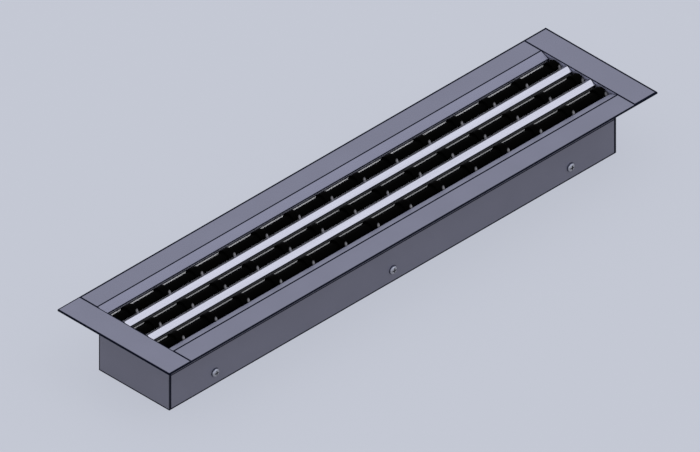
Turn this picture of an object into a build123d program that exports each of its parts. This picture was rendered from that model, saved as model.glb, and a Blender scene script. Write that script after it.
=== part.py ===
from build123d import *
from math import atan, cos, tan
import os

# Linear slot diffuser with three slots: a flanged aluminium frame and black air-pattern rollers.
# Millimetres. X runs along the slots, Y across them, Z up through the face.
# The origin is under the middle of the body, on the plane of the neck's open rim.

# Frame
neck_length = 550.0
overall_height = 64.5
flange_overhang = 25.5
wall = 1.6

# Slots, and the sloped faces that lead into them
slot_count = 3
slot_pitch = 28.6
slot_width = 17.5
lip_inset = 5.95
bevel_width = 9.4
bevel_drop = 3.8
roof_drop = 3.2
lip_undercut = 1.0
ledge_depth = 7.15
web_thickness = 1.6

# Air-pattern rollers: round collars, and a body that is off their axis, on one rod in each slot
roller_axis_depth = 7.6
collar_radius = 7.45
collar_length = 9.15
collar_pitch = 40.0
collars_per_roller = 3
shoulder_height = 1.2
shoulder_length = 2.2
body_radius = 6.2
body_offset = 1.1
roller_end_gap = 0.3
roller_side_gap = 0.3
rod_radius = 2.0
running_clearance = 0.05

# Screw ports along the extrusions, and the screws in them
port_depth = 18.0
port_radius = 3.3
port_slit = 1.2
end_screw_radius = 1.6
end_screw_length = 16.0
end_screw_head_radius = 3.5
end_screw_head_height = 2.4

# Nuts on the roller rods
nut_across_flats = 7.0
nut_thickness = 3.2
rod_past_nut = 1.5

# Cross ties low in the neck
tie_count = 3
tie_inset = 56.2
tie_height = 12.9
tie_rod_radius = 3.5
tube_wall = 1.4
web_foot = 8.4
tie_screw_radius = 2.0
tie_screw_length = 12.0
tie_bore_depth = 15.0
tie_screw_head_radius = 4.0
tie_screw_head_height = 2.6

# Fits, and the cross recess in each screw head
hole_clearance = 0.1
thread_clearance = 0.05
recess_width = 1.1
recess_depth = 1.3
recess_rim = 1.5
head_chamfer = 0.9

# Places worked out from the sizes above
inner_length = neck_length - 2 * wall
inner_x = inner_length / 2
outer_x = neck_length / 2
slot_ys = [slot_pitch * (i - (slot_count - 1) / 2) for i in range(slot_count)]
separator_ys = [(low + high) / 2 for low, high in zip(slot_ys, slot_ys[1:])]
lip_y = slot_ys[-1] + slot_width / 2
wall_outer_y = lip_y + lip_inset
wall_inner_y = wall_outer_y - wall
flange_outer_y = wall_outer_y + flange_overhang
bevel_top_y = lip_y + bevel_width
ledge_reach = collar_radius + roller_side_gap

face_z = overall_height
lip_z = face_z - bevel_drop
ledge_z = face_z - ledge_depth
roller_axis_z = face_z - roller_axis_depth
port_z = face_z - port_depth
port_bore_radius = end_screw_radius + thread_clearance
side_port_y = wall_inner_y + wall / 2 - port_radius
port_ys = [-side_port_y, *separator_ys, side_port_y]
tie_z = tie_height
tie_span = neck_length - 2 * tie_inset
tie_xs = [tie_span * (i / (tie_count - 1) - 0.5) for i in range(tie_count)]
tie_hole_radius = tie_rod_radius + hole_clearance

profile_start = Plane.YZ.offset(-inner_x)
os.makedirs("parts", exist_ok=True)


def save(part, name):
    part.label = name
    export_step(part, f"parts/{name}.step")


# Side profile: flange, bevel, hollow lip, ledge and neck wall in one extrusion
bevel_slope = bevel_drop / bevel_width
bevel_angle = atan(bevel_slope)
bevel_at_wall_z = face_z - (bevel_top_y - wall_outer_y) * bevel_slope

side_outline = [
    (flange_outer_y, face_z),
    (bevel_top_y, face_z),
    (lip_y, lip_z),
    (lip_y + lip_undercut, ledge_z),
    (slot_ys[-1] + ledge_reach, ledge_z),
    (slot_ys[-1] + ledge_reach, ledge_z - wall),
    (wall_inner_y, ledge_z - wall),
    (wall_inner_y, 0),
    (wall_outer_y, 0),
    (wall_outer_y, bevel_at_wall_z - wall / cos(bevel_angle)),
    (bevel_top_y + wall * tan(bevel_angle / 2), face_z - wall),
    (flange_outer_y, face_z - wall),
]
side_lip_box = [
    (wall_outer_y, bevel_at_wall_z),
    (lip_y, lip_z),
    (lip_y + lip_undercut, ledge_z),
    (lip_y + lip_undercut, ledge_z - wall),
    (wall_outer_y, ledge_z - wall),
]

with BuildSketch(profile_start) as side_chamber:
    Polygon(*side_lip_box, align=None)
    offset(amount=-wall, kind=Kind.INTERSECTION, mode=Mode.REPLACE)

with BuildPart() as side_profile_rear:
    with BuildSketch(profile_start):
        Polygon(*side_outline, align=None)
        with Locations((side_port_y, port_z)):
            Circle(port_radius)
            Circle(port_bore_radius, mode=Mode.SUBTRACT)
        with Locations((side_port_y - port_radius / 2, port_z)):
            Rectangle(port_radius, port_slit, mode=Mode.SUBTRACT)
        add(side_chamber.sketch, mode=Mode.SUBTRACT)
    extrude(amount=inner_length)
    with BuildSketch(Plane.XZ.offset(-wall_inner_y)):
        with Locations(*[(x, tie_z) for x in tie_xs]):
            Circle(tie_screw_radius + hole_clearance)
    extrude(amount=-wall, mode=Mode.SUBTRACT)

with BuildPart() as side_profile_front:
    mirror(side_profile_rear.part, about=Plane.XZ)

save(side_profile_front.part, "side_profile_front")
save(side_profile_rear.part, "side_profile_rear")


# Separator: hollow roof-shaped head over two ledges, and a web that hangs down to the cross ties
head_half = (slot_pitch - slot_width) / 2
waist_half = head_half - lip_undercut
separator_ledge_half = slot_pitch / 2 - ledge_reach
web_half = web_thickness / 2
web_bottom_z = tie_z - web_foot

separator_half_outline = [
    (head_half, face_z - roof_drop),
    (waist_half, ledge_z),
    (separator_ledge_half, ledge_z),
    (separator_ledge_half, ledge_z - wall),
    (web_half, ledge_z - wall),
    (web_half, web_bottom_z),
]
separator_half_box = [
    (head_half, face_z - roof_drop),
    (waist_half, ledge_z),
    (waist_half, ledge_z - wall),
]


def both_sides(half):
    return [(0, face_z), *half, *[(-y, z) for y, z in reversed(half)]]


def separator(y, name):
    start = Plane(origin=(-inner_x, y, 0), x_dir=(0, 1, 0), z_dir=(1, 0, 0))
    with BuildSketch(start) as chamber:
        Polygon(*both_sides(separator_half_box), align=None)
        offset(amount=-wall, kind=Kind.INTERSECTION, mode=Mode.REPLACE)

    with BuildPart() as bar:
        with BuildSketch(start):
            Polygon(*both_sides(separator_half_outline), align=None)
            with Locations((0, port_z)):
                Circle(port_radius)
                Circle(port_bore_radius, mode=Mode.SUBTRACT)
            with Locations((port_radius / 2, port_z)):
                Rectangle(port_radius, port_slit, mode=Mode.SUBTRACT)
            add(chamber.sketch, mode=Mode.SUBTRACT)
        extrude(amount=inner_length)
        with BuildSketch(Plane.XZ.offset(-y - web_half)):
            with Locations(*[(x, tie_z) for x in tie_xs]):
                Circle(tie_hole_radius)
        extrude(amount=web_thickness, mode=Mode.SUBTRACT)
    save(bar.part, name)


for number, y in enumerate(separator_ys, 1):
    separator(y, f"separator_{number}")


# End profile: end flange and neck end wall, butted against the ends of the side profiles
with BuildPart() as end_profile_right:
    with BuildSketch(Plane.XY.offset(face_z)):
        with Locations((inner_x, 0)):
            Rectangle(wall + flange_overhang, 2 * flange_outer_y, align=(Align.MIN, Align.CENTER))
    extrude(amount=-wall)
    with BuildSketch(Plane.YZ.offset(inner_x)):
        Rectangle(2 * wall_outer_y, face_z, align=(Align.CENTER, Align.MIN))
    extrude(amount=wall)
    with BuildSketch(Plane.YZ.offset(inner_x)):
        with Locations(*[(y, roller_axis_z) for y in slot_ys]):
            Circle(rod_radius + hole_clearance)
        with Locations(*[(y, port_z) for y in port_ys]):
            Circle(end_screw_radius + hole_clearance)
    extrude(amount=wall, mode=Mode.SUBTRACT)

with BuildPart() as end_profile_left:
    mirror(end_profile_right.part, about=Plane.YZ)

save(end_profile_left.part, "end_profile_left")
save(end_profile_right.part, "end_profile_right")


# Rollers: concentric collars with an eased shoulder, on an eccentric body that steers the air
collar_outline = [
    (-collar_length, 0),
    (-collar_length, collar_radius),
    (-shoulder_length, collar_radius),
    (0, collar_radius - shoulder_height),
    (0, 0),
]


def roller(y, collar_faces, left_x, name):
    length = collar_faces[0] - left_x
    axis_plane = Plane(origin=(0, y, roller_axis_z), x_dir=(1, 0, 0), z_dir=(0, -1, 0))
    end_plane = Plane.YZ.offset(left_x)
    with BuildPart() as turned:
        with BuildSketch(axis_plane):
            with Locations(*[(x, 0) for x in collar_faces]):
                Polygon(*collar_outline, align=None)
        revolve(axis=Axis(axis_plane.origin, (1, 0, 0)))
        with BuildSketch(end_plane):
            with Locations((y, roller_axis_z - body_offset)):
                Circle(body_radius)
        extrude(amount=length)
        with BuildSketch(end_plane):
            with Locations((y, roller_axis_z)):
                Circle(rod_radius + running_clearance)
        extrude(amount=length, mode=Mode.SUBTRACT)
    save(turned.part, name)


roller_room = inner_length - 2 * roller_end_gap
collar_count = int((roller_room - collar_length) // collar_pitch) + 1
collar_xs = [inner_x - roller_end_gap - collar_pitch * i for i in range(collar_count)]
roller_starts = range(0, collar_count, collars_per_roller)

for slot, y in enumerate(slot_ys, 1):
    for number, first in enumerate(roller_starts, 1):
        collar_faces = collar_xs[first : first + collars_per_roller]
        following = collar_xs[first + collars_per_roller : first + collars_per_roller + 1]
        left_x = (following[0] if following else -inner_x) + roller_end_gap
        roller(y, collar_faces, left_x, f"roller_{slot}_{number}")


# Roller rods and the nuts that pull the end profiles onto the frame
rod_length = neck_length + 2 * (nut_thickness + rod_past_nut)

for slot, y in enumerate(slot_ys, 1):
    with BuildPart() as rod:
        with BuildSketch(Plane.YZ.offset(-rod_length / 2)):
            with Locations((y, roller_axis_z)):
                Circle(rod_radius)
        extrude(amount=rod_length)
    save(rod.part, f"roller_rod_{slot}")

with BuildPart() as rod_nuts_right:
    with BuildSketch(Plane.YZ.offset(outer_x)):
        with Locations(*[(y, roller_axis_z) for y in slot_ys]):
            RegularPolygon(nut_across_flats / 2, 6, major_radius=False)
            Circle(rod_radius + thread_clearance, mode=Mode.SUBTRACT)
    extrude(amount=nut_thickness)

with BuildPart() as rod_nuts_left:
    mirror(rod_nuts_right.part, about=Plane.YZ)

save(rod_nuts_left.part, "rod_nuts_left")
save(rod_nuts_right.part, "rod_nuts_right")


# Pan-head screws, one group for each wall that they go through
def pan_screws(seat, places, head_radius, head_height, shank_radius, length):
    with BuildPart() as screws:
        with BuildSketch(seat):
            with Locations(*places):
                Circle(head_radius)
        extrude(amount=head_height)
        rims = screws.edges().filter_by(GeomType.CIRCLE).group_by(Axis((0, 0, 0), seat.z_dir))[-1]
        chamfer(rims, length=head_chamfer)
        with BuildSketch(seat):
            with Locations(*places):
                Circle(shank_radius)
        extrude(amount=-length)
        with BuildSketch(seat.offset(head_height)):
            with Locations(*places):
                Rectangle(2 * (head_radius - recess_rim), recess_width)
                Rectangle(recess_width, 2 * (head_radius - recess_rim))
        extrude(amount=-recess_depth, mode=Mode.SUBTRACT)
    return screws.part


end_screws = pan_screws(
    Plane.YZ.offset(outer_x),
    [(y, port_z) for y in port_ys],
    end_screw_head_radius,
    end_screw_head_height,
    end_screw_radius,
    end_screw_length,
)
tie_screws = pan_screws(
    Plane.XZ.offset(wall_outer_y),
    [(x, tie_z) for x in tie_xs],
    tie_screw_head_radius,
    tie_screw_head_height,
    tie_screw_radius,
    tie_screw_length,
)

with BuildPart() as end_screws_right:
    add(end_screws)
with BuildPart() as end_screws_left:
    mirror(end_screws, about=Plane.YZ)
with BuildPart() as tie_screws_front:
    add(tie_screws)
with BuildPart() as tie_screws_rear:
    mirror(tie_screws, about=Plane.XZ)

save(end_screws_right.part, "end_screws_right")
save(end_screws_left.part, "end_screws_left")
save(tie_screws_front.part, "tie_screws_front")
save(tie_screws_rear.part, "tie_screws_rear")


# Cross ties: a round bar through both webs, tapped at each end, with a spacer tube in each slot
for number, x in enumerate(tie_xs, 1):
    with BuildPart() as tie_rod:
        with BuildSketch(Plane.XZ.offset(-wall_inner_y)):
            with Locations((x, tie_z)):
                Circle(tie_rod_radius)
        extrude(amount=2 * wall_inner_y)
        for end in (Plane.XZ.offset(wall_inner_y), Plane.XZ.offset(tie_bore_depth - wall_inner_y)):
            with BuildSketch(end):
                with Locations((x, tie_z)):
                    Circle(tie_screw_radius + thread_clearance)
            extrude(amount=-tie_bore_depth, mode=Mode.SUBTRACT)
    save(tie_rod.part, f"tie_rod_{number}")

bay_lows = [-wall_inner_y, *[y + web_half for y in separator_ys]]
bay_highs = [*[y - web_half for y in separator_ys], wall_inner_y]

for slot, (low, high) in enumerate(zip(bay_lows, bay_highs), 1):
    with BuildPart() as tubes:
        with BuildSketch(Plane.XZ.offset(-high)):
            with Locations(*[(x, tie_z) for x in tie_xs]):
                Circle(tie_hole_radius + tube_wall)
                Circle(tie_hole_radius, mode=Mode.SUBTRACT)
        extrude(amount=high - low)
    save(tubes.part, f"spacer_tubes_{slot}")
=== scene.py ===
import math

import bmesh
import bpy
from mathutils import Matrix, Vector


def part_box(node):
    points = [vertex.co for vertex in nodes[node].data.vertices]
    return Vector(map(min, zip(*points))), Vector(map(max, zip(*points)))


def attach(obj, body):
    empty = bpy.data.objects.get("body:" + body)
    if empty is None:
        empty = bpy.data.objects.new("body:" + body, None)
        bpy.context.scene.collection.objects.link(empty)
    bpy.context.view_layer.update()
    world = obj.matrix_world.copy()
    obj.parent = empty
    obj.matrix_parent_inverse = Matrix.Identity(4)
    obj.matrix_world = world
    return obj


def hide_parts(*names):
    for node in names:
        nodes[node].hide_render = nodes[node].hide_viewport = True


bl_info = {
    "name": "Linear slot diffuser",
    "version": (1, 0, 0),
    "blender": (4, 5, 0),
    "location": "3D View > Sidebar > Diffuser",
    "description": "Finishes a three-slot linear diffuser: rollers, screws, nuts, rods, coats and studio",
    "category": "Object",
}

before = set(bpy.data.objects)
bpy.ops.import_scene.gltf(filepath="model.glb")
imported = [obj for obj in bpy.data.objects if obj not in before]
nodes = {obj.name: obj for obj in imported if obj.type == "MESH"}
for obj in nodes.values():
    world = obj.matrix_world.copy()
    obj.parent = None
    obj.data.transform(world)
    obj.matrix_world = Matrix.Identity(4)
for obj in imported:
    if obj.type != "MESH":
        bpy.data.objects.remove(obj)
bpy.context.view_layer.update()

MM = 0.001
SLOTS = (1, 2, 3)
ENDS = (("left", -1), ("right", 1))
QUARTER = math.pi / 2
SMOOTH_ANGLE = math.radians(35)
# half the width over which the edge of a dark line fades
LINE_BLUR = 0.12 * MM
# heights this close together count as one
SAME = 0.05 * MM
# a step past an edge, so that what is chosen by place doesn't end on the edge itself
CLEAR = 0.1 * MM
BUMP_DEPTH = 0.05 * MM
# a noise lies mostly between these two values
NOISE = {"From Min": 0.3, "From Max": 0.7}
# the usual specular level of a shader
GLOSS = 0.5
# the axes that count in the distance from a dark line: an edge along one axis, or a plane square to it
ALONG_X, ALONG_Y, ALONG_Z = (0, 1, 1), (1, 0, 1), (1, 1, 0)
SQUARE_X, SQUARE_Y = (1, 0, 0), (0, 1, 0)

roller_low, roller_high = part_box("roller_1_1")
side_low, side_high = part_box("side_profile_rear")
bar_low, bar_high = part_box("separator_2")
tie_head_low, tie_head_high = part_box("tie_screws_front")
end_head_low, end_head_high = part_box("end_screws_right")
nut_low, nut_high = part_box("rod_nuts_right")
flange_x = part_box("end_profile_right")[1].x
bar_y = (bar_low.y + bar_high.y) / 2
tie_head_z = (tie_head_low.z + tie_head_high.z) / 2
end_head_z = (end_head_low.z + end_head_high.z) / 2


def linear(code):
    """The linear colour of an sRGB hex code."""
    parts = [int(code[i : i + 2], 16) / 255 for i in (0, 2, 4)]
    return (*[c / 12.92 if c <= 0.04045 else ((c + 0.055) / 1.055) ** 2.4 for c in parts], 1.0)


def length(name, description, millimetres):
    return bpy.props.FloatProperty(
        name=name, description=description, default=millimetres * MM, unit="LENGTH", precision=5
    )


def angle(name, description, degrees):
    return bpy.props.FloatProperty(
        name=name, description=description, default=math.radians(degrees), subtype="ANGLE"
    )


def share(name, description, default, most=1.0):
    return bpy.props.FloatProperty(name=name, description=description, default=default, min=0.0, max=most)


def line_reach(place, millimetres):
    """How far a dark line reaches from its edge."""
    return length(place, f"Reach of the dark line at the {place.lower()}", millimetres)


def colour(name, description, code):
    return bpy.props.FloatVectorProperty(
        name=name, description=description, default=linear(code), size=4, subtype="COLOR", min=0.0, max=1.0
    )


class CoatSettings(bpy.types.PropertyGroup):
    coat: colour("Coat", "Blue-grey metallic powder coat", "7B7D93")
    # dark lines drawn on sharp edges and seams; in corners, under the flanges and round the screw heads they
    # are painted shade
    edge_line_and_shade: colour("Arris", "Dark matt line on sharp edges and in the joints", "141826")
    bare: colour("Bare ledge", "Aluminium that the powder doesn't reach behind the lips", "FAFBFE")
    roughness: share("Roughness", "Roughness of the satin coat", 0.42)
    flake: share("Flake", "Share of the metal flake in the coat", 0.35)
    # painted light on the front and rear bevels, as a shade against the flange
    front_bevel_painted_light: share("Front lift", "Shade of the front bevel against the flange", 1.2, 2.0)
    rear_bevel_painted_light: share("Rear lift", "Shade of the rear bevel against the flange", 1.17, 2.0)
    # painted light at the slots' ends, as a shade against the flange
    slot_end_painted_light: share("Inner lift", "Shade of the thin coat at the slots' ends against the flange", 1.85, 3.0)
    # painted shade behind the lips, as a shade against the flange
    behind_lip_painted_shade: share("Hidden shade", "Shade of the thin coat behind the lips against the flange", 0.65)
    fold_y: length("Fold", "Distance of the bevel's upper fold from the middle", 46.75)
    rear_fold_back: length("Rear fold", "How much further back the line on the rear fold lies", 0.45)
    lip_y: length("Lip", "Distance of the lip's edge from the middle", 37.35)
    lip_z: length("Lip height", "Height of the lip's edge", 60.7)
    # the painted light at the slots' ends begins this far over the lips
    inner_gap: length("Inner gap", "How far over the lips the thin coat at the slots' ends begins", 1.0)
    ledge_y: length("Ledge", "Distance of the ledge's root from the middle", 38.35)
    ledge_z: length("Ledge height", "Height of the ledge", 57.35)
    neck_y: length("Neck", "Distance of the neck's long walls from the middle", 43.3)
    # a dark line drawn along the long walls, some 28 mm below the face
    wall_line_z: length("Guide line", "Height of the guide line on the long walls", 36.4)
    skin: length("Skin", "Thickness of the extrusions", 1.6)


class LineSettings(bpy.types.PropertyGroup):
    front_rim: line_reach("Front rim", 0.85)
    left_rim: line_reach("Left rim", 1.1)
    far_rim: line_reach("Rear and right rims", 1.8)
    front_fold: line_reach("Fold of the front bevel", 1.05)
    rear_fold: line_reach("Fold of the rear bevel", 0.7)
    butt: line_reach("Butt joints on the face", 0.98)
    seam: line_reach("Ends of the side profiles", 0.91)
    lip: line_reach("Edges of the lips", 0.7)
    ledge_root: line_reach("Roots of the ledges", 0.56)
    ledge_edge: line_reach("Free edges of the ledges", 0.35)
    guide: line_reach("Guide lines on the long walls", 0.595)
    side_foot: line_reach("Foot of the long walls", 1.4)
    end_foot: line_reach("Foot of the end walls", 1.3)
    front_corner: line_reach("Front corners of the neck", 0.58)
    rear_corner: line_reach("Rear corners of the neck", 1.2)
    ring: line_reach("Rims of the screws' heads", 0.35)
    bar_head: line_reach("Edges of the bars' heads", 0.5)
    bar_ledge: line_reach("Edges of the bars' ledges", 0.35)
    bar_end: line_reach("Ends of the bars", 0.8)


class SeparatorSettings(bpy.types.PropertyGroup):
    anodised: colour("Anodised", "Natural anodised aluminium on the bars' sloped heads", "CFD1E3")
    # painted shade: the flanks under the heads are painted dark
    flank_painted_shade: colour("Flank", "Dull dark skin of the flanks under the heads", "34363C")
    ledge: colour("Ledge", "Plain aluminium of the ledges", "C6C7CA")
    # dark lines along the edges; under the heads they are painted shade
    edge_line_and_shade: colour("Arris", "Dark matt line along the edges", "141826")
    metal: share("Metal", "Share of metal in the look of the skin", 0.9)
    roughness: share("Roughness", "Roughness of the satin anodising", 0.2)
    line_spacing: length("Die lines", "Spacing of the fine lines that the die leaves", 1.2)
    head_half: length("Head", "Half the width of a bar's head", 5.55)
    head_z: length("Head height", "Height of the heads' lower edges", 61.3)
    ledge_root: length("Ledge root", "Distance of a ledge's root from the bar's middle", 4.55)
    ledge_half: length("Ledge", "Half the width of a bar at its ledges", 6.55)
    ledge_z: length("Ledge height", "Height of the ledges", 57.35)


class RollerSettings(bpy.types.PropertyGroup):
    plastic: colour("Plastic", "Black moulded plastic", "030303")
    # painted highlight: a pale spot on each collar's shoulder stands for its glint
    painted_glint: colour("Burnish", "Pale spot where each collar's shoulder is burnished", "9999A0")
    roughness: share("Roughness", "Roughness of the moulded skin", 0.4)
    gloss: share("Gloss", "Specular level of the moulded skin", 0.004)
    glint_angle: angle("Spot angle", "Angle of the burnished spots over the axis", 26)
    glint_inset: length("Spot inset", "Distance of the spots from the collars' ends", 1.6)
    glint_core: length("Spot core", "Radius within which a spot is at its palest", 0.78)
    glint_reach: length("Spot reach", "Radius at which a spot ends", 2.6)
    collar_radius: length("Collar radius", "Radius of a collar", (roller_high.y - roller_low.y) / 2 / MM)
    collar_length: length("Collar length", "Length of a collar", 9.15)
    collar_pitch: length("Collar pitch", "Distance from collar to collar", 40.0)
    shoulder_length: length("Shoulder length", "Length of the rounded shoulder", 4.2)
    shoulder_height: length("Shoulder height", "Height of the rounded shoulder", 1.5)
    heel_radius: length("Heel radius", "Rounding of the collar's other side", 0.5)
    body_radius: length("Body radius", "Radius of the eccentric body", 6.2)
    body_offset: length("Body offset", "How far the body is off the axis", 1.1)
    bore_radius: length("Bore radius", "Radius of the bore for the rod", 2.05)
    facets: bpy.props.IntProperty(name="Facets", description="Facets round a collar", default=64, min=16)


class HardwareSettings(bpy.types.PropertyGroup):
    zinc: colour("Zinc", "Bright zinc plating with a blue passivation", "BEC3D6")
    steel: colour("Steel", "Drawn steel of the cross ties", "A2A3A6")
    # painted shade under the screws' heads and in their recesses
    painted_shade_tint: colour("Joint", "Dark line under the heads and in their recesses", "16181F")
    roughness: share("Roughness", "Roughness of the plating", 0.28)
    drawn_roughness: share("Drawn roughness", "Roughness of the drawn steel", 0.4)
    cloud: length("Cloud", "Size of the plating's faint clouds", 2.0)
    drawn_mark: length("Drawing marks", "Width of the marks that drawing leaves", 0.6)
    under_head_shade_reach: length("Joint line", "Reach of the dark line under the heads", 0.5)
    tie_head_radius: length("Side head radius", "Radius of the side screws' heads", 4.0)
    tie_head_height: length("Side head height", "Height of the side screws' heads", 2.6)
    tie_shank_radius: length("Side shank radius", "Radius of the side screws' shanks", 2.0)
    tie_shadow: length("Side shadow", "Reach of the dark in the side screws' recesses", 2.9)
    tie_shadow_drop: length("Shadow drop", "How far below the axis that dark is centred", 0.8)
    end_head_radius: length("End head radius", "Radius of the end screws' heads", 3.5)
    end_head_height: length("End head height", "Height of the end screws' heads", 2.4)
    end_shank_radius: length("End shank radius", "Radius of the end screws' shanks", 1.6)
    end_shadow: length("End shadow", "Reach of the dark in the end screws' recesses", 2.3)
    recess_width: length("Recess width", "Width of the cross recess", 1.1)
    recess_depth: length("Recess depth", "Depth of the cross recess", 1.3)
    nut_width: length("Nut width", "Width of a nut across its flats", 7.0)
    nut_bore: length("Nut bore", "Radius of a nut's bore", 1.9)
    nut_entry: length("Nut entry", "Chamfer at both ends of a nut's bore", 0.35)
    thread_pitch: length("Thread pitch", "Pitch of the thread on the rods' ends", 0.7)
    thread_length: length("Thread length", "Length of the thread on each end of a rod", 8.0)
    thread_depth: length("Thread depth", "Depth of that thread", 0.3)
    rod_ease: length("Rod ease", "Chamfer on a rod's ends", 0.4)


class StageSettings(bpy.types.PropertyGroup):
    backdrop: colour("Backdrop", "Pale floor and backdrop", "C5C9D5")
    bounce: colour("Bounce", "Floor colour that lights the object from below", "B9B8B5")
    horizon: colour("Horizon", "Light tent at the height of the eye", "D0D0D1")
    zenith: share("Zenith", "Brightness of the light tent overhead", 1.15, 4.0)
    key: share("Key", "Strength of the soft overhead lamp", 0.2, 10.0)
    key_spread: angle("Key spread", "How wide the overhead lamp looks from the object", 30)
    glow: share("Glow", "How free of shadow the floor looks to the camera", 0.85)
    bounce_glow: share("Bounce glow", "How free of shadow the floor's bounced light is", 0.6)
    picture_width: length("Picture width", "Width of the orthographic picture", 609.3)
    aim_right: length("Aim right", "How far right of the face's middle the camera aims", -6.55)
    aim_up: length("Aim up", "How far above the face's middle the camera aims", -21.92)
    distance: length("Distance", "Distance of the camera", 3000.0)
    floor_gap: length("Floor gap", "Gap under the neck's rim", 0.2)
    floor_half: length("Floor", "Half the width of the floor", 12000.0)


def add(tree, kind, links=None, out=0, **settings):
    """Adds one node with its settings, and gives its output out, or all its outputs for None. links has a
    number, a colour or an output for each input. A Mix node's colours are inputs 6 and 7 and output 2."""
    made = tree.nodes.new(kind)
    for name, value in settings.items():
        setattr(made, name, value)
    for name, value in (links or {}).items():
        for part in value if isinstance(value, list) else [value]:
            if isinstance(part, bpy.types.NodeSocket):
                tree.links.new(part, made.inputs[name])
            else:
                made.inputs[name].default_value = part
    return made.outputs if out is None else made.outputs[out]


def new_material(name):
    """An empty node material and its tree."""
    made = bpy.data.materials.get(name) or bpy.data.materials.new(name)
    made.use_nodes = True
    made.node_tree.nodes.clear()
    return made, made.node_tree


def paint(node, material):
    """Puts one material on a CAD node."""
    node.data.materials.clear()
    node.data.materials.append(material)


def edge_lines(tree, place, edges):
    """1 on the dark lines along edges, 0 elsewhere. edges has (axes that count, point, reach) in metres."""
    nearest = -1.0
    for axes, point, reach in edges:
        away = add(tree, "ShaderNodeVectorMath", {0: place, 1: point}, operation="SUBTRACT")
        kept = add(tree, "ShaderNodeVectorMath", {0: away, 1: axes}, operation="MULTIPLY")
        far = add(tree, "ShaderNodeVectorMath", {0: kept}, operation="LENGTH", out="Value")
        inside = add(tree, "ShaderNodeMath", {0: reach, 1: far}, operation="SUBTRACT")
        nearest = add(tree, "ShaderNodeMath", {0: nearest, 1: inside}, operation="MAXIMUM")
    ends = {"From Min": -LINE_BLUR, "From Max": LINE_BLUR}
    return add(tree, "ShaderNodeMapRange", {"Value": nearest, **ends})


def where(tree, *conditions):
    """1 where all the conditions hold, 0 elsewhere. Each has an output, a comparison and a value."""
    mask = 1.0
    for output, comparison, value in conditions:
        holds = add(tree, "ShaderNodeMath", {0: output, 1: value, 2: SAME}, operation=comparison)
        mask = add(tree, "ShaderNodeMath", {0: mask, 1: holds}, operation="MULTIPLY")
    return mask


def shaded(tree, shade, mask, change):
    """The shade, and the shade times change where the mask is 1."""
    factor = add(tree, "ShaderNodeMapRange", {"Value": mask, "To Min": 1.0, "To Max": change})
    return add(tree, "ShaderNodeMath", {0: shade, 1: factor}, operation="MULTIPLY")


def matt_lines(tree, line, metal):
    """The share of metal and the specular level of a surface whose dark lines are matt."""
    looks = {}
    for name, level in (("Metallic", metal), ("Specular IOR Level", GLOSS)):
        looks[name] = add(tree, "ShaderNodeMapRange", {"Value": line, "To Min": level, "To Max": 0.0})
    return looks


def fine_texture(tree, grain, roughness, swing, strength):
    """The roughness and the small bumps of a surface with a fine grain."""
    bump = add(tree, "ShaderNodeBump", {"Height": grain, "Strength": strength, "Distance": BUMP_DEPTH})
    ends = {"To Min": roughness - swing, "To Max": roughness + swing}
    return {"Normal": bump, "Roughness": add(tree, "ShaderNodeMapRange", {"Value": grain, **ends})}


def end_material(tree, looks):
    """Ends a material in one surface with its looks."""
    surface = add(tree, "ShaderNodeBsdfPrincipled", looks)
    add(tree, "ShaderNodeOutputMaterial", {"Surface": surface}, out=None)


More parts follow.
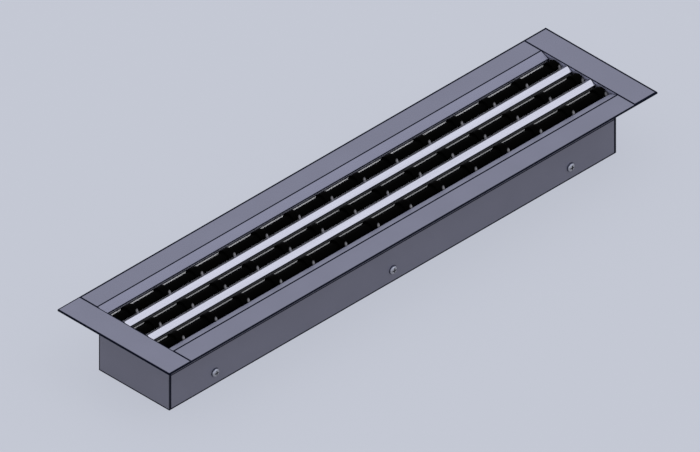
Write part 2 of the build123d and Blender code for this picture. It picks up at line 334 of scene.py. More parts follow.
def coat_material(name, settings, edges, corners=(), lift=None):
    """Satin metallic powder coat on extruded aluminium: an even blue-grey with a soft sheen, a faint orange
    peel, and a fine dark line along each sharp edge and seam, which is painted shade in the corners. edges
    are alike on all sides. corners are the upright ones of an end profile and stop under the flange. The last
    argument is the painted light on a side profile's bevel, and with it come the painted shade behind the lip
    and the bare ledge."""
    material, tree = new_material(name)
    place = add(tree, "ShaderNodeTexCoord", out="Object")
    folded = add(tree, "ShaderNodeVectorMath", {0: place}, operation="ABSOLUTE")
    axes = add(tree, "ShaderNodeSeparateXYZ", {0: folded}, out=None)
    line = edge_lines(tree, folded, edges)
    # the shade of the coat drifts by a few percent over some 40 mm
    cloud = add(tree, "ShaderNodeTexNoise", {"Vector": place, "Scale": 25.0, "Detail": 3.0})
    shade = add(tree, "ShaderNodeMapRange", {"Value": cloud, **NOISE, "To Min": 0.97, "To Max": 1.03})
    bare = 0.0
    if corners:
        upright = edge_lines(tree, place, corners)
        under = where(tree, (axes["Z"], "LESS_THAN", side_high.z - settings.skin))
        upright = add(tree, "ShaderNodeMath", {0: upright, 1: under}, operation="MULTIPLY")
        line = add(tree, "ShaderNodeMath", {0: line, 1: upright}, operation="MAXIMUM")
        # painted light: the inner side at the slots' ends lies in shade in its recess and is painted paler,
        # down to a little over the lips
        inside = (axes["X"], "LESS_THAN", side_high.x + SAME)
        over = (axes["Z"], "GREATER_THAN", settings.lip_z + settings.inner_gap)
        shade = shaded(tree, shade, where(tree, inside, over), settings.slot_end_painted_light)
    if lift:
        # painted light: the bevel over the lip is painted paler than the flange
        within = (axes["Y"], "LESS_THAN", settings.fold_y)
        shade = shaded(tree, shade, where(tree, within, (axes["Z"], "GREATER_THAN", settings.lip_z)), lift)
        # painted shade: the wall behind the lip is painted darker, and the powder doesn't reach the ledge
        near = (axes["Y"], "LESS_THAN", settings.ledge_y + CLEAR)
        behind = where(tree, near, (axes["Z"], "LESS_THAN", settings.lip_z - CLEAR))
        shade = shaded(tree, shade, behind, settings.behind_lip_painted_shade)
        bare = where(tree, near, (axes["Z"], "COMPARE", settings.ledge_z))
    base = add(tree, "ShaderNodeVectorMath", {0: settings.coat[:3], "Scale": shade}, operation="SCALE")
    for mask, tint in ((bare, settings.bare), (line, settings.edge_line_and_shade)):
        base = add(tree, "ShaderNodeMix", {"Factor": mask, 6: base, 7: tint}, data_type="RGBA", out=2)
    # orange peel is about 1 mm across on the real coat; it is drawn at 2 mm so that it shows
    peel = add(tree, "ShaderNodeTexNoise", {"Vector": place, "Scale": 500.0, "Detail": 2.0})
    texture = fine_texture(tree, peel, settings.roughness, swing=0.04, strength=0.12)
    end_material(tree, {"Base Color": base, **matt_lines(tree, line, settings.flake), **texture})
    return material


def anodised_material(name, settings, lines):
    """Natural anodised aluminium, extruded: pale satin metal with fine lines along the bar on the heads,
    painted shade on the flanks under the heads, plain ledges, and a fine dark line along each edge that faces
    the front, partly painted shade."""
    material, tree = new_material(name)
    place = add(tree, "ShaderNodeTexCoord", out="Object")
    height = add(tree, "ShaderNodeSeparateXYZ", {0: place}, out="Z")
    # the die lines are drawn about three times as coarse as the real ones, so that they show, and a hundred
    # times as long as they are wide
    across = 1 / settings.line_spacing
    scale = (across / 100, across, across)
    stretched = add(tree, "ShaderNodeMapping", {"Vector": place, "Scale": scale})
    grain = add(tree, "ShaderNodeTexNoise", {"Vector": stretched, "Scale": 1.0, "Detail": 3.0})
    shade = add(tree, "ShaderNodeMapRange", {"Value": grain, **NOISE, "To Min": 0.95, "To Max": 1.03})
    edges = [(SQUARE_X, (x, 0, 0), lines.bar_end) for x in (-bar_high.x, bar_high.x)]
    for middle in (-bar_y, bar_y):
        edges += [
            (ALONG_X, (0, middle - settings.head_half, settings.head_z), lines.bar_head),
            (ALONG_X, (0, middle - settings.ledge_root, settings.ledge_z), lines.bar_ledge),
            (ALONG_X, (0, middle - settings.ledge_half, settings.ledge_z), lines.bar_ledge),
        ]
    line = edge_lines(tree, place, edges)
    # painted shade on the flanks under the heads
    under = where(tree, (height, "LESS_THAN", settings.head_z - CLEAR))
    on_ledge = where(tree, (height, "COMPARE", settings.ledge_z))
    skin = settings.anodised
    for mask, tint in ((under, settings.flank_painted_shade), (on_ledge, settings.ledge)):
        skin = add(tree, "ShaderNodeMix", {"Factor": mask, 6: skin, 7: tint}, data_type="RGBA", out=2)
    base = add(tree, "ShaderNodeVectorMath", {0: skin, "Scale": shade}, operation="SCALE")
    dark = {"Factor": line, 6: base, 7: settings.edge_line_and_shade}
    base = add(tree, "ShaderNodeMix", dark, data_type="RGBA", out=2)
    # the ledges aren't metallic, so that they look as pale from all sides
    metal = add(tree, "ShaderNodeMapRange", {"Value": on_ledge, "To Min": settings.metal, "To Max": 0.0})
    texture = fine_texture(tree, grain, settings.roughness, swing=0.06, strength=0.1)
    end_material(tree, {"Base Color": base, **matt_lines(tree, line, metal), **texture})
    return material


def plastic_material(name, settings):
    """Black moulded plastic with a fine spark texture: nearly no colour and no shine, apart from one small
    pale spot on each collar's shoulder, a painted highlight that stands for the collar's glint."""
    material, tree = new_material(name)
    place = add(tree, "ShaderNodeTexCoord", out="Object")
    # the spark grain is about 0.3 mm; it is drawn at 1 mm so that it shows
    grain = add(tree, "ShaderNodeTexNoise", {"Vector": place, "Scale": 1000.0, "Detail": 2.0})
    # the painted highlights repeat from collar to collar and from slot to slot, a third of the shoulder's
    # height down
    slot_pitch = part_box("roller_2_1")[1].y - roller_high.y
    radius = settings.collar_radius - settings.shoulder_height / 3
    first = (
        roller_high.x - settings.glint_inset,
        (roller_low.y + roller_high.y) / 2 - radius * math.cos(settings.glint_angle),
        roller_high.z - settings.collar_radius + radius * math.sin(settings.glint_angle),
    )
    away = add(tree, "ShaderNodeVectorMath", {0: place, 1: first}, operation="SUBTRACT")
    # one collar of one slot fills a cell, and heights don't repeat
    half = Vector((settings.collar_pitch, slot_pitch, 2.0)) / 2
    wrapped = add(tree, "ShaderNodeVectorMath", {0: away, 1: half, 2: -half}, operation="WRAP")
    far = add(tree, "ShaderNodeVectorMath", {0: wrapped}, operation="LENGTH", out="Value")
    fade = {"From Min": settings.glint_core, "From Max": settings.glint_reach, "To Min": 1.0, "To Max": 0.0}
    spot = add(tree, "ShaderNodeMapRange", {"Value": far, **fade})
    tints = {6: settings.plastic, 7: settings.painted_glint}
    base = add(tree, "ShaderNodeMix", {"Factor": spot, **tints}, data_type="RGBA", out=2)
    texture = fine_texture(tree, grain, settings.roughness, swing=0.05, strength=0.08)
    end_material(tree, {"Base Color": base, "Specular IOR Level": settings.gloss, **texture})
    return material


def metal_material(name, tint, roughness, grain_size, stretch, joints=(), painted_shade_tint=None):
    """Plated or drawn steel: bright metal whose gloss varies a little along its grain. stretch says how fine
    the grain is along each axis. The last two arguments give painted shade: its dark lines and spots, and
    their colour."""
    material, tree = new_material(name)
    place = add(tree, "ShaderNodeTexCoord", out="Object")
    scale = tuple(factor / grain_size for factor in stretch)
    mapped = add(tree, "ShaderNodeMapping", {"Vector": place, "Scale": scale})
    grain = add(tree, "ShaderNodeTexNoise", {"Vector": mapped, "Scale": 1.0, "Detail": 3.0})
    shade = add(tree, "ShaderNodeMapRange", {"Value": grain, **NOISE, "To Min": 0.9, "To Max": 1.05})
    base = add(tree, "ShaderNodeVectorMath", {0: tint[:3], "Scale": shade}, operation="SCALE")
    if joints:
        folded = add(tree, "ShaderNodeVectorMath", {0: place}, operation="ABSOLUTE")
        line = edge_lines(tree, folded, joints)
        base = add(tree, "ShaderNodeMix", {"Factor": line, 6: base, 7: painted_shade_tint}, data_type="RGBA", out=2)
    # the grain takes a little more gloss away than it gives
    ends = {"To Min": roughness - 0.06, "To Max": roughness + 0.08}
    rough = add(tree, "ShaderNodeMapRange", {"Value": grain, **ends})
    end_material(tree, {"Base Color": base, "Metallic": 1.0, "Roughness": rough})
    return material


def zinc_material(settings):
    """Bright zinc plating with a blue passivation: pale metal with a blue tint, a little cloudy, and with
    painted shade under the screws' heads and in their recesses."""
    joints = [
        (SQUARE_Y, (0, -tie_head_low.y - settings.tie_head_height, 0), settings.under_head_shade_reach),
        (SQUARE_X, (end_head_high.x - settings.end_head_height, 0, 0), settings.under_head_shade_reach),
    ]
    # the painted shade in a recess fills a flat spheroid, a third as deep as it is wide
    for x in (0, tie_head_high.x - settings.tie_head_radius):
        deep = (x, -tie_head_low.y - settings.recess_depth, tie_head_z - settings.tie_shadow_drop)
        joints.append(((1, 3, 1), deep, settings.tie_shadow))
    for y in (bar_y, end_head_high.y - settings.end_head_radius):
        deep = (end_head_high.x - settings.recess_depth, y, end_head_z)
        joints.append(((3, 1, 1), deep, settings.end_shadow))
    look = settings.zinc, settings.roughness, settings.cloud, (1, 1, 1)
    return metal_material("bright_zinc_plating", *look, joints, settings.painted_shade_tint)


def drawn_material(settings):
    """Drawn steel: duller and greyer than the plating, with fine drawing marks along Y."""
    look = settings.steel, settings.drawn_roughness, settings.drawn_mark, (1, 0.02, 1)
    return metal_material("drawn_steel", *look)


def lathe(outline, facets):
    """A closed outline of (radius, height) points, turned round Z; a point at radius 0 becomes a pole."""
    shape = bmesh.new()
    rings = []
    for radius, height in outline:
        if radius == 0:
            rings.append([shape.verts.new((0, 0, height))])
            continue
        turns = [2 * math.pi * i / facets for i in range(facets)]
        rings.append([shape.verts.new((radius * math.cos(t), radius * math.sin(t), height)) for t in turns])
    for low, high in zip(rings, rings[1:]):
        for i in range(facets):
            j = (i + 1) % facets
            corners = [low[i % len(low)], low[j % len(low)], high[j % len(high)], high[i % len(high)]]
            shape.faces.new(list(dict.fromkeys(corners)))
    bmesh.ops.recalc_face_normals(shape, faces=shape.faces)
    return shape


def both_ends(outline, middle):
    """An outline and its mirror image across the height of the middle, as one."""
    return [*outline, *[(radius, 2 * middle - height) for radius, height in reversed(outline)]]


def prism(outline, ends):
    """A closed outline of points in the plane, drawn between two ends, each with a height and a scale."""
    shape = bmesh.new()
    rings = []
    for height, scale in ends:
        rings.append([shape.verts.new((*(point * scale), height)) for point in outline])
        shape.faces.new(rings[-1])
    for i in range(len(outline)):
        j = (i + 1) % len(outline)
        shape.faces.new([rings[0][i], rings[0][j], rings[1][j], rings[1][i]])
    bmesh.ops.recalc_face_normals(shape, faces=shape.faces)
    return shape


def lay_along_x(shape):
    """Turns a shape from Z to +X."""
    bmesh.ops.rotate(shape, verts=shape.verts, cent=(0, 0, 0), matrix=Matrix.Rotation(QUARTER, 3, "Y"))


def put(name, data):
    """Puts an object with this data in the scene."""
    made = bpy.data.objects.new(name, data)
    bpy.context.scene.collection.objects.link(made)
    return made


def as_object(shape, name):
    """Turns a bmesh into an object in the scene."""
    mesh = bpy.data.meshes.new(name)
    shape.to_mesh(mesh)
    shape.free()
    return put(name, mesh)


def carve(piece, cuts):
    """Cuts a piece with tools, each with its operation, and removes the tools."""
    for tool, operation in cuts:
        cut = piece.modifiers.new(tool.name, "BOOLEAN")
        cut.operation, cut.solver, cut.object = operation, "EXACT", tool
    settle(piece)
    for tool, _ in cuts:
        bpy.data.objects.remove(tool)


def new_tree(name, sockets):
    """An empty Geometry Nodes tree with a geometry in and out, and its named inputs."""
    tree = bpy.data.node_groups.new(name, "GeometryNodeTree")
    tree.interface.new_socket("Geometry", in_out="INPUT", socket_type="NodeSocketGeometry")
    for socket, kind in sockets.items():
        tree.interface.new_socket(socket, in_out="INPUT", socket_type=f"NodeSocket{kind}")
    tree.interface.new_socket("Geometry", in_out="OUTPUT", socket_type="NodeSocketGeometry")
    return tree, add(tree, "NodeGroupInput", out=None)


def end_tree(tree, geometry, material):
    """Ends a tree in plain geometry with its material."""
    real = add(tree, "GeometryNodeRealizeInstances", {"Geometry": geometry})
    painted = add(tree, "GeometryNodeSetMaterial", {"Geometry": real, "Material": material})
    add(tree, "NodeGroupOutput", {"Geometry": painted}, out=None)


def grow(piece, tree, values):
    """Runs a tree on a piece, and leaves the result as the piece's plain mesh."""
    modifier = piece.modifiers.new(tree.name, "NODES")
    modifier.node_group = tree
    for item in tree.interface.items_tree:
        if item.in_out == "INPUT" and item.name in values:
            modifier[item.identifier] = values[item.name]
    settle(piece)


def settle(piece):
    """Applies a piece's modifiers and shades it smooth, apart from its sharp edges."""
    bpy.context.view_layer.update()
    graph = bpy.context.evaluated_depsgraph_get()
    mesh = bpy.data.meshes.new_from_object(piece.evaluated_get(graph))
    piece.modifiers.clear()
    piece.data = mesh
    mesh.polygons.foreach_set("use_smooth", [True] * len(mesh.polygons))
    mesh.set_sharp_from_angle(angle=SMOOTH_ANGLE)


def roller_tree():
    """A roller's tree: collars in a row on an eccentric body, with a bore through them."""
    sockets = {
        "Collar": "Object",
        "Collars": "Int",
        "Pitch": "Float",
        "Length": "Float",
        "Body Radius": "Float",
        "Body Offset": "Float",
        "Bore Radius": "Float",
        "Facets": "Int",
        "Material": "Material",
    }
    tree, given = new_tree("collared_roller", sockets)
    back = add(tree, "ShaderNodeMath", {0: given["Pitch"], 1: -1.0}, operation="MULTIPLY")
    step = add(tree, "ShaderNodeCombineXYZ", {"X": back})
    row = add(tree, "GeometryNodeMeshLine", {"Count": given["Collars"], "Offset": step})
    collar = add(tree, "GeometryNodeObjectInfo", {"Object": given["Collar"]}, out="Geometry")
    collars = add(tree, "GeometryNodeInstanceOnPoints", {"Points": row, "Instance": collar})
    middle = add(tree, "ShaderNodeMath", {0: given["Length"], 1: -0.5}, operation="MULTIPLY")
    down = add(tree, "ShaderNodeMath", {0: given["Body Offset"], 1: -1.0}, operation="MULTIPLY")
    # the bore's bar stands out at both ends, so that it cuts right through
    spare = 2 * MM
    long = add(tree, "ShaderNodeMath", {0: given["Length"], 1: spare}, operation="ADD")
    bars = []
    for radius, depth, drop in (
        (given["Body Radius"], given["Length"], down),
        (given["Bore Radius"], long, 0.0),
    ):
        round_bar = {"Vertices": given["Facets"], "Radius": radius, "Depth": depth}
        bar = add(tree, "GeometryNodeMeshCylinder", round_bar)
        spot = add(tree, "ShaderNodeCombineXYZ", {"X": middle, "Z": drop})
        laid = {"Geometry": bar, "Translation": spot, "Rotation": (0, QUARTER, 0)}
        bars.append(add(tree, "GeometryNodeTransform", laid))
    body, bore = bars
    parts = {"Mesh 2": [collars, body]}
    solid = add(tree, "GeometryNodeMeshBoolean", parts, operation="UNION", solver="EXACT")
    parts = {"Mesh 1": solid, "Mesh 2": bore}
    bored = add(tree, "GeometryNodeMeshBoolean", parts, operation="DIFFERENCE", solver="EXACT")
    end_tree(tree, bored, given["Material"])
    return tree


def copies_tree():
    """A tree that puts a copy of one piece at each point of a mesh, turned as asked."""
    tree, given = new_tree("copies_at_places", {"Piece": "Object", "Turn": "Vector", "Material": "Material"})
    piece = add(tree, "GeometryNodeObjectInfo", {"Object": given["Piece"]}, out="Geometry")
    spots = {"Points": given["Geometry"], "Instance": piece, "Rotation": given["Turn"]}
    copies = add(tree, "GeometryNodeInstanceOnPoints", spots)
    end_tree(tree, copies, given["Material"])
    return tree


def put_copies(name, template, places, turn, material, node):
    """Copies of a template at places, in one plain mesh that stands for a CAD node."""
    points = bmesh.new()
    for place in places:
        points.verts.new(place)
    piece = as_object(points, name)
    tree = bpy.data.node_groups.get("copies_at_places") or copies_tree()
    grow(piece, tree, {"Piece": template, "Turn": turn, "Material": material})
    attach(piece, "frame")
    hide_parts(node)


def quarter_round(middle, reach, start, steps):
    """The points of a quarter of an ellipse, from an angle on."""
    turns = [start + QUARTER * i / steps for i in range(steps + 1)]
    return [(middle[0] + reach[0] * math.cos(t), middle[1] + reach[1] * math.sin(t)) for t in turns]


def collar_template(settings):
    """One collar: round, with a rounded shoulder towards +X and a small rounding on its other side."""
    radius, heel, back = settings.collar_radius, settings.heel_radius, -settings.collar_length
    shoulder = (settings.shoulder_height, settings.shoulder_length)
    outline = [(0, back)]
    outline += quarter_round((radius - heel, back + heel), (heel, heel), -QUARTER, steps=4)
    outline += quarter_round((radius - shoulder[0], -shoulder[1]), shoulder, 0, steps=8)
    outline.append((0, 0))
    shape = lathe(outline, settings.facets)
    lay_along_x(shape)
    return as_object(shape, "collar_template")


def screw_template(name, head_radius, head_height, shank_radius, shank_length, settings):
    """A pan-head screw with a tapered cross recess, its seat on Z 0 and its head upwards."""
    facets = 48
    # the shank ends in a blunt point, and the head's seat has a small chamfer
    point_radius = shank_radius * 0.7
    point_length = 0.6 * MM
    ease = 0.1 * MM
    outline = [(0, -shank_length), (point_radius, -shank_length)]
    outline += [(shank_radius, point_length - shank_length), (shank_radius, 0)]
    outline += [(head_radius - ease, 0), (head_radius, ease)]
    # the head rises from a short side to a top that is fuller than an ellipse
    side = 0.28 * head_height
    steps = 10
    for i in range(steps):
        turn = QUARTER * i / steps
        rise = (head_height - side) * math.sin(turn) ** 0.9
        outline.append((head_radius * math.cos(turn) ** 0.8, side + rise))
    outline.append((0, head_height))
    screw = as_object(lathe(outline, facets), name)
    half = settings.recess_width / 2
    arm = head_radius * 0.62
    cross = []
    for quarter in range(4):
        turn = Matrix.Rotation(quarter * QUARTER, 2)
        cross += [turn @ Vector(corner) for corner in ((arm, -half), (arm, half), (half, half))]
    # the recess narrows towards its floor, and its tool stands out over the head
    spare = 0.4 * MM
    ends = ((head_height + spare, 1.05), (head_height - settings.recess_depth, 0.8))
    recess = as_object(prism(cross, ends), name + "_recess")
    carve(screw, [(recess, "DIFFERENCE")])
    return screw


def nut_template(across_flats, thickness, bore_radius, entry):
    """A hexagon nut with chamfered corners on both faces, its seat on Z 0."""
    facets, bore_facets = 48, 32
    spare = 1 * MM
    corner = across_flats / math.sqrt(3)
    drop = (corner - across_flats / 2) * math.tan(math.radians(30))
    # the chamfer starts a little inside the flats and ends a little outside the corners
    seat = across_flats / 2 * 0.97
    wide = corner * 1.02
    slope = drop * 1.3
    disc = both_ends([(0, 0), (seat, 0), (wide, slope)], thickness / 2)
    nut = as_object(lathe(disc, facets), "nut_template")
    turns = [math.tau * i / 6 for i in range(6)]
    hexagon = [Vector((corner * math.cos(turn), corner * math.sin(turn))) for turn in turns]
    flats = as_object(prism(hexagon, ((-spare, 1), (thickness + spare, 1))), "nut_hexagon")
    mouth = bore_radius + entry + spare
    bar = both_ends([(0, -spare), (mouth, -spare), (bore_radius, entry)], thickness / 2)
    bore = as_object(lathe(bar, bore_facets), "nut_bore")
    carve(nut, [(flats, "INTERSECT"), (bore, "DIFFERENCE")])
    return nut


class DIFFUSER_OT_frame(bpy.types.Operator):
    """Coats the side and end profiles of the frame"""

    bl_idname = "diffuser.frame"
    bl_label = "Coat the frame"

    def execute(self, context):
        settings = context.scene.diffuser_coat
        lines = context.scene.diffuser_lines
        top, under = side_high.z, side_high.z - settings.skin
        seam_x, outer_x = side_high.x, side_high.x + settings.skin
        tie_radius = (tie_head_high.z - tie_head_low.z) / 2
        end_radius = (end_head_high.z - end_head_low.z) / 2
        side_edges = [
            (SQUARE_X, (seam_x, 0, 0), lines.seam),
            (ALONG_X, (0, settings.lip_y, settings.lip_z), lines.lip),
            (ALONG_X, (0, settings.ledge_y, settings.ledge_z), lines.ledge_root),
            (ALONG_X, (0, side_low.y, settings.ledge_z), lines.ledge_edge),
            # the dark line drawn along each long wall
            (ALONG_X, (0, settings.neck_y, settings.wall_line_z), lines.guide),
            (ALONG_X, (0, settings.neck_y, 0), lines.side_foot),
        ]
        # painted shade: a dark ring is drawn on the wall round each screw head
        for x in (0, tie_head_high.x - tie_radius):
            side_edges.append((ALONG_Y, (x, 0, tie_head_z), tie_radius + lines.ring))
        # the butt's line reaches half as far down the end wall as it does along the flange
        end_edges = [((1, 0, 2), (seam_x, 0, top), lines.butt), (ALONG_Y, (outer_x, 0, 0), lines.end_foot)]
        for y in (bar_y, end_head_high.y - end_radius):
            end_edges.append((ALONG_X, (0, y, end_head_z), end_radius + lines.ring))
        # the front fold is seen more side on than the rear one, so its line is wider
        for name, lift, back, fold, rim in (
            ("front", settings.front_bevel_painted_light, 0, lines.front_fold, lines.front_rim),
            ("rear", settings.rear_bevel_painted_light, settings.rear_fold_back, lines.rear_fold, lines.far_rim),
        ):
            edges = [(ALONG_X, (0, settings.fold_y + back, top), fold), *side_edges]
            edges += [(ALONG_X, (0, side_high.y, z), rim) for z in (top, under)]
            material = coat_material(f"powder_coat_{name}", settings, edges, lift=lift)
            paint(nodes[f"side_profile_{name}"], material)
        for name, side, rim in (("left", -1, lines.left_rim), ("right", 1, lines.far_rim)):
            edges = [(ALONG_X, (0, side_high.y, z), rim) for z in (top, under)]
            edges += [(ALONG_Y, (flange_x, 0, z), rim) for z in (top, under)]
            corners = []
            for y, reach in ((-settings.neck_y, lines.front_corner), (settings.neck_y, lines.rear_corner)):
                corners.append((ALONG_Z, (side * outer_x, y, 0), reach))
                corners.append((ALONG_Z, (side * seam_x, y, 0), lines.seam))
            material = coat_material(f"powder_coat_{name}", settings, end_edges + edges, corners)
            paint(nodes[f"end_profile_{name}"], material)
        return {"FINISHED"}


class DIFFUSER_OT_separators(bpy.types.Operator):
    """Finishes the two separators as natural anodised extrusions"""

    bl_idname = "diffuser.separators"
    bl_label = "Finish the separators"

    def execute(self, context):
        settings, lines = context.scene.diffuser_separators, context.scene.diffuser_lines
        material = anodised_material("natural_anodised_extrusion", settings, lines)
        for number in (1, 2):
            paint(nodes[f"separator_{number}"], material)
        return {"FINISHED"}


class DIFFUSER_OT_rollers(bpy.types.Operator):
    """Builds the moulded rollers, each on its own turning body"""

    bl_idname = "diffuser.rollers"
    bl_label = "Build the rollers"

    def execute(self, context):
        settings = context.scene.diffuser_rollers
        material = plastic_material("black_moulded_plastic", settings)
        tree = roller_tree()
        template = collar_template(settings)
        shapes = {}
        for name in sorted(n for n in nodes if n.startswith("roller_") and "rod" not in n):
            low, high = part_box(name)
            collars = math.ceil((high.x - low.x) / settings.collar_pitch)
            piece = as_object(bmesh.new(), "moulded_" + name)
            if collars in shapes:
                piece.data = shapes[collars].copy()
            else:
                values = {
                    "Collar": template,
                    "Collars": collars,
                    "Pitch": settings.collar_pitch,
                    "Length": high.x - low.x,
                    "Body Radius": settings.body_radius,
                    "Body Offset": settings.body_offset,
                    "Bore Radius": settings.bore_radius,
                    "Facets": settings.facets,
                    "Material": material,
                }
                grow(piece, tree, values)
                shapes[collars] = piece.data.copy()
            place = (high.x, (low.y + high.y) / 2, high.z - settings.collar_radius)
            piece.data.transform(Matrix.Translation(place))
            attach(piece, name)
            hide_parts(name)
        bpy.data.objects.remove(template)
        return {"FINISHED"}


class DIFFUSER_OT_screws(bpy.types.Operator):
    """Builds the cross-recess pan-head screws in the side and end walls"""

    bl_idname = "diffuser.screws"
    bl_label = "Build the screws"

    def execute(self, context):
        settings = context.scene.diffuser_hardware
        zinc = zinc_material(settings)
        radius, height = settings.tie_head_radius, settings.tie_head_height
        shank = tie_head_high.y - tie_head_low.y - height
        side_screw = screw_template("side_screw", radius, height, settings.tie_shank_radius, shank, settings)
        left, right = tie_head_low.x + radius, tie_head_high.x - radius
        seat = tie_head_low.y + height
        for name, side, turn in (("front", 1, QUARTER), ("rear", -1, -QUARTER)):
            places = [(x, seat * side, tie_head_z) for x in (left, (left + right) / 2, right)]
            put_copies(f"side_pan_heads_{name}", side_screw, places, (turn, 0, 0), zinc, f"tie_screws_{name}")
        radius, height = settings.end_head_radius, settings.end_head_height
        shank = end_head_high.x - end_head_low.x - height
        end_screw = screw_template("end_screw", radius, height, settings.end_shank_radius, shank, settings)
        outer = end_head_high.y - radius
        seat = end_head_high.x - height
        for name, side in ENDS:
            places = [(seat * side, y, end_head_z) for y in (-outer, -bar_y, bar_y, outer)]
            turn = (0, QUARTER * side, 0)
            put_copies(f"end_pan_heads_{name}", end_screw, places, turn, zinc, f"end_screws_{name}")
        for template in (side_screw, end_screw):
            bpy.data.objects.remove(template)
        return {"FINISHED"}


class DIFFUSER_OT_nuts(bpy.types.Operator):
    """Builds the hexagon nuts on the roller rods"""

    bl_idname = "diffuser.nuts"
    bl_label = "Build the nuts"

    def execute(self, context):
        settings = context.scene.diffuser_hardware
        zinc = zinc_material(settings)
        thickness = nut_high.x - nut_low.x
        template = nut_template(settings.nut_width, thickness, settings.nut_bore, settings.nut_entry)
        for name, side in ENDS:
            places = []
            for slot in SLOTS:
                low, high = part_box(f"roller_rod_{slot}")
                places.append((nut_low.x * side, (low.y + high.y) / 2, (low.z + high.z) / 2))
            turn = (0, QUARTER * side, 0)
            put_copies(f"chamfered_nuts_{name}", template, places, turn, zinc, f"rod_nuts_{name}")
        bpy.data.objects.remove(template)
        return {"FINISHED"}


class DIFFUSER_OT_rods(bpy.types.Operator):
    """Builds the threaded roller rods, and finishes the cross ties and their spacer tubes"""

    bl_idname = "diffuser.rods"
    bl_label = "Build the rods"

    def execute(self, context):
        settings = context.scene.diffuser_hardware
        zinc = zinc_material(settings)
        drawn = drawn_material(settings)
        pitch, ease = settings.thread_pitch, settings.rod_ease
        facets = 32
        for slot in SLOTS:
            low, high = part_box(f"roller_rod_{slot}")
            radius = (high.y - low.y) / 2
            half = (high.x - low.x) / 2
            thread = []
            for i in range(int(settings.thread_length / pitch)):
                at = half - ease - i * pitch
                thread += [(radius, at), (radius - settings.thread_depth, at - pitch / 2)]
            thread.append((radius, at - pitch))
            shape = lathe(both_ends([(0, half), (radius - ease, half), *thread], 0), facets)
            lay_along_x(shape)
            bmesh.ops.translate(shape, verts=shape.verts, vec=(low + high) / 2)
            piece = as_object(shape, f"threaded_rod_{slot}")
            piece.data.materials.append(zinc)
            settle(piece)
            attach(piece, "frame")
            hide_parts(f"roller_rod_{slot}")
            paint(nodes[f"tie_rod_{slot}"], drawn)
            paint(nodes[f"spacer_tubes_{slot}"], drawn)
        return {"FINISHED"}


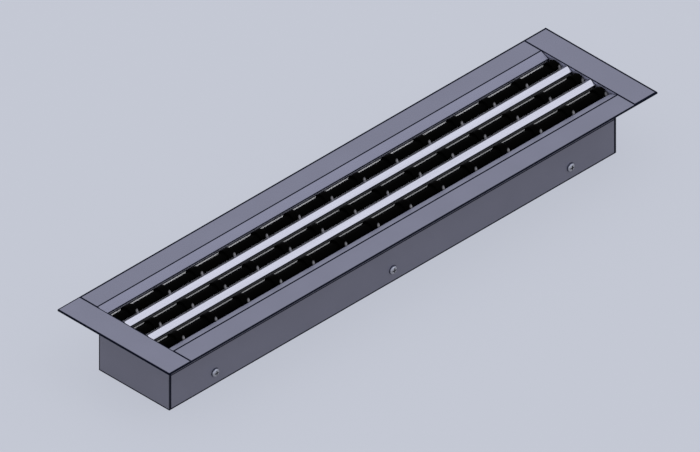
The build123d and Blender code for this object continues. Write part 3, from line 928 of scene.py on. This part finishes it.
class DIFFUSER_OT_stage(bpy.types.Operator):
    """Sets the pale floor, the soft light and the isometric camera"""

    bl_idname = "diffuser.stage"
    bl_label = "Set the stage"

    def execute(self, context):
        settings = context.scene.diffuser_stage
        self.lay_floor(settings)
        self.light(context.scene, settings)
        self.aim_camera(context.scene, settings)
        context.scene.view_settings.view_transform = "Standard"
        return {"FINISHED"}

    def lay_floor(self, settings):
        """A pale matt floor that glows, so that its shadow stays soft, and is clear from below."""
        material, tree = new_material("pale_floor")
        seen = add(tree, "ShaderNodeLightPath", out="Is Camera Ray")
        tints = {6: settings.bounce, 7: settings.backdrop}
        tint = add(tree, "ShaderNodeMix", {"Factor": seen, **tints}, data_type="RGBA", out=2)
        matt = add(tree, "ShaderNodeBsdfDiffuse", {"Color": tint})
        pale = add(tree, "ShaderNodeEmission", {"Color": tint, "Strength": 1.0})
        ends = {"To Min": settings.bounce_glow, "To Max": settings.glow}
        glow = add(tree, "ShaderNodeMapRange", {"Value": seen, **ends})
        lit = add(tree, "ShaderNodeMixShader", {0: glow, 1: matt, 2: pale})
        clear = add(tree, "ShaderNodeBsdfTransparent")
        back = add(tree, "ShaderNodeNewGeometry", out="Backfacing")
        surface = add(tree, "ShaderNodeMixShader", {0: back, 1: lit, 2: clear})
        add(tree, "ShaderNodeOutputMaterial", {"Surface": surface}, out=None)
        sheet = bmesh.new()
        bmesh.ops.create_grid(sheet, x_segments=1, y_segments=1, size=settings.floor_half)
        bmesh.ops.translate(sheet, verts=sheet.verts, vec=(0, 0, -settings.floor_gap))
        floor = as_object(sheet, "floor")
        floor.data.materials.append(material)

    def light(self, scene, settings):
        """A light tent that pales towards its top, and one soft lamp."""
        world = bpy.data.worlds.new("light_tent")
        scene.world = world
        world.use_nodes = True
        tree = world.node_tree
        tree.nodes.clear()
        towards = add(tree, "ShaderNodeTexCoord", out="Generated")
        height = add(tree, "ShaderNodeSeparateXYZ", {0: towards}, out="Z")
        above = add(tree, "ShaderNodeMath", {0: height, 1: 0.0}, operation="MAXIMUM")
        rise = add(tree, "ShaderNodeMath", {0: above, 1: 2.0}, operation="POWER")
        zenith = (settings.zenith, settings.zenith, settings.zenith, 1)
        tints = {6: settings.horizon, 7: zenith}
        sky = add(tree, "ShaderNodeMix", {"Factor": rise, **tints}, data_type="RGBA", out=2)
        background = add(tree, "ShaderNodeBackground", {"Color": sky})
        add(tree, "ShaderNodeOutputWorld", {"Surface": background}, out=None)
        lamp = bpy.data.lights.new("key_lamp", "SUN")
        lamp.energy = settings.key
        lamp.angle = settings.key_spread
        holder = put("key_lamp", lamp)
        holder.rotation_mode = "QUATERNION"
        # the lamp is high up, in front and a little to the right
        towards_lamp = Vector((0.25, -0.45, 0.86))
        holder.rotation_quaternion = towards_lamp.to_track_quat("Z", "Y")

    def aim_camera(self, scene, settings):
        """An isometric camera over the near left corner."""
        back = Vector((-1, -1, 1)).normalized()
        right = Vector((1, -1, 0)).normalized()
        up = Vector((1, 1, 2)).normalized()
        aim = Vector((0, 0, side_high.z)) + right * settings.aim_right + up * settings.aim_up
        lens = bpy.data.cameras.new("isometric_camera")
        lens.type = "ORTHO"
        lens.ortho_scale = settings.picture_width
        lens.clip_start, lens.clip_end = 0.01, 100
        camera = put("isometric_camera", lens)
        camera.rotation_mode = "QUATERNION"
        camera.rotation_quaternion = (-back).to_track_quat("-Z", "Y")
        camera.location = aim + back * settings.distance
        scene.camera = camera


class DIFFUSER_PT_panel(bpy.types.Panel):
    """Lists the steps that finish the diffuser"""

    bl_idname = "DIFFUSER_PT_panel"
    bl_label = "Linear slot diffuser"
    bl_space_type = "VIEW_3D"
    bl_region_type = "UI"
    bl_category = "Diffuser"

    def draw(self, context):
        for step in STEPS:
            self.layout.operator(step.bl_idname)
        for name in GROUPS:
            group = getattr(context.scene, name)
            box = self.layout.box()
            for field in group.__annotations__:
                box.prop(group, field)


STEPS = (
    DIFFUSER_OT_frame,
    DIFFUSER_OT_separators,
    DIFFUSER_OT_rollers,
    DIFFUSER_OT_screws,
    DIFFUSER_OT_nuts,
    DIFFUSER_OT_rods,
    DIFFUSER_OT_stage,
)
GROUPS = {
    "diffuser_coat": CoatSettings,
    "diffuser_lines": LineSettings,
    "diffuser_separators": SeparatorSettings,
    "diffuser_rollers": RollerSettings,
    "diffuser_hardware": HardwareSettings,
    "diffuser_stage": StageSettings,
}


def register():
    for name, group in GROUPS.items():
        bpy.utils.register_class(group)
        setattr(bpy.types.Scene, name, bpy.props.PointerProperty(type=group))
    for step in STEPS:
        bpy.utils.register_class(step)
    bpy.utils.register_class(DIFFUSER_PT_panel)


def unregister():
    bpy.utils.unregister_class(DIFFUSER_PT_panel)
    for step in reversed(STEPS):
        bpy.utils.unregister_class(step)
    for name, group in reversed(GROUPS.items()):
        delattr(bpy.types.Scene, name)
        bpy.utils.unregister_class(group)


def main():
    register()
    for step in STEPS:
        group, name = step.bl_idname.split(".")
        getattr(getattr(bpy.ops, group), name)()


if __name__ == "__main__":
    main()
